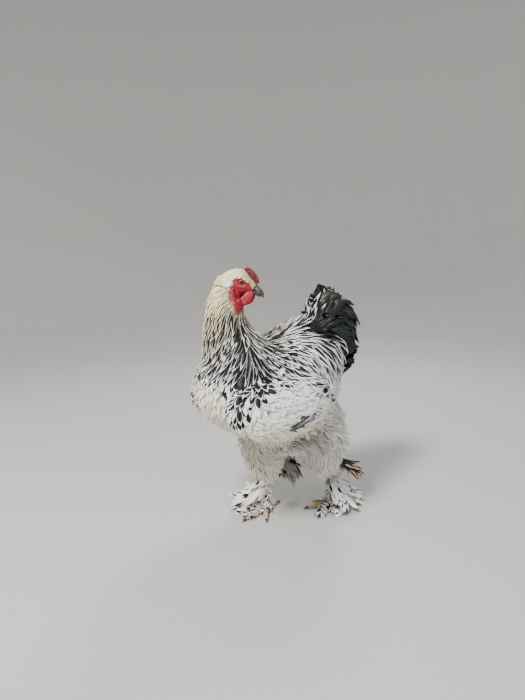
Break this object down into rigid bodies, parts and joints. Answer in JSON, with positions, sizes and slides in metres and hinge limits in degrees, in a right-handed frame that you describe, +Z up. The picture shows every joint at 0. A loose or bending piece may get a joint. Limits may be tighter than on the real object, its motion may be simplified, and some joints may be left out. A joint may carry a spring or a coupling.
{
  "type": "light brahma cock, still model",
  "caption": "Life-size still model of a standing Light Brahma cock with feathered feet, its head turned back over its left shoulder.",
  "frame": {"origin": "on the floor under the middle of the whole outline", "axes": "+Z is up, the bird's body faces -Y and its left side is +X"},
  "size_m": [0.309, 0.4466, 0.6217],
  "materials": {
    "plumage_cream": "short matt cream feathers",
    "plumage_white": "matt white feathers",
    "plumage_striped": "long pointed feathers, black down the middle and white at the edges",
    "plumage_black": "black feathers with a green gloss",
    "fluff": "soft loose greyish white down",
    "bare_skin": "red pebbled skin, slightly moist",
    "horn": "smooth dark horn",
    "scaled_skin": "yellow scaled skin",
    "eye": "wet, glossy"
  },
  "bodies": {
    "root": {"abdomen": "fluff", "beak_lower": "horn", "beak_upper": "horn", "boot_left": "plumage_white", "boot_right": "plumage_white", "claw_hind_left": "horn", "claw_hind_right": "horn", "claw_inner_left": "horn", "claw_inner_right": "horn", "claw_middle_left": "horn", "claw_middle_right": "horn", "claw_outer_left": "horn", "claw_outer_right": "horn", "comb": "bare_skin", "earlobe_left": "bare_skin", "earlobe_right": "bare_skin", "eye_left": "eye", "eye_right": "eye", "foot_left": "scaled_skin", "foot_right": "scaled_skin", "head": "plumage_cream", "hock_tuft_left": "fluff", "hock_tuft_right": "fluff", "neck": "plumage_striped", "saddle_left": "plumage_striped", "saddle_right": "plumage_striped", "shank_left": "scaled_skin", "shank_right": "scaled_skin", "tail_covert_left": "plumage_black", "tail_covert_right": "plumage_black", "tail_main": "plumage_black", "thigh_left": "fluff", "thigh_right": "fluff", "toe_hind_left": "scaled_skin", "toe_hind_right": "scaled_skin", "toe_inner_left": "scaled_skin", "toe_inner_right": "scaled_skin", "toe_middle_left": "scaled_skin", "toe_middle_right": "scaled_skin", "toe_outer_left": "scaled_skin", "toe_outer_right": "scaled_skin", "trunk": "plumage_white", "wattle_left": "bare_skin", "wattle_right": "bare_skin", "wing_left": "plumage_white", "wing_right": "plumage_white", "wing_tip_left": "plumage_black", "wing_tip_right": "plumage_black"}
  },
  "joints": []
}
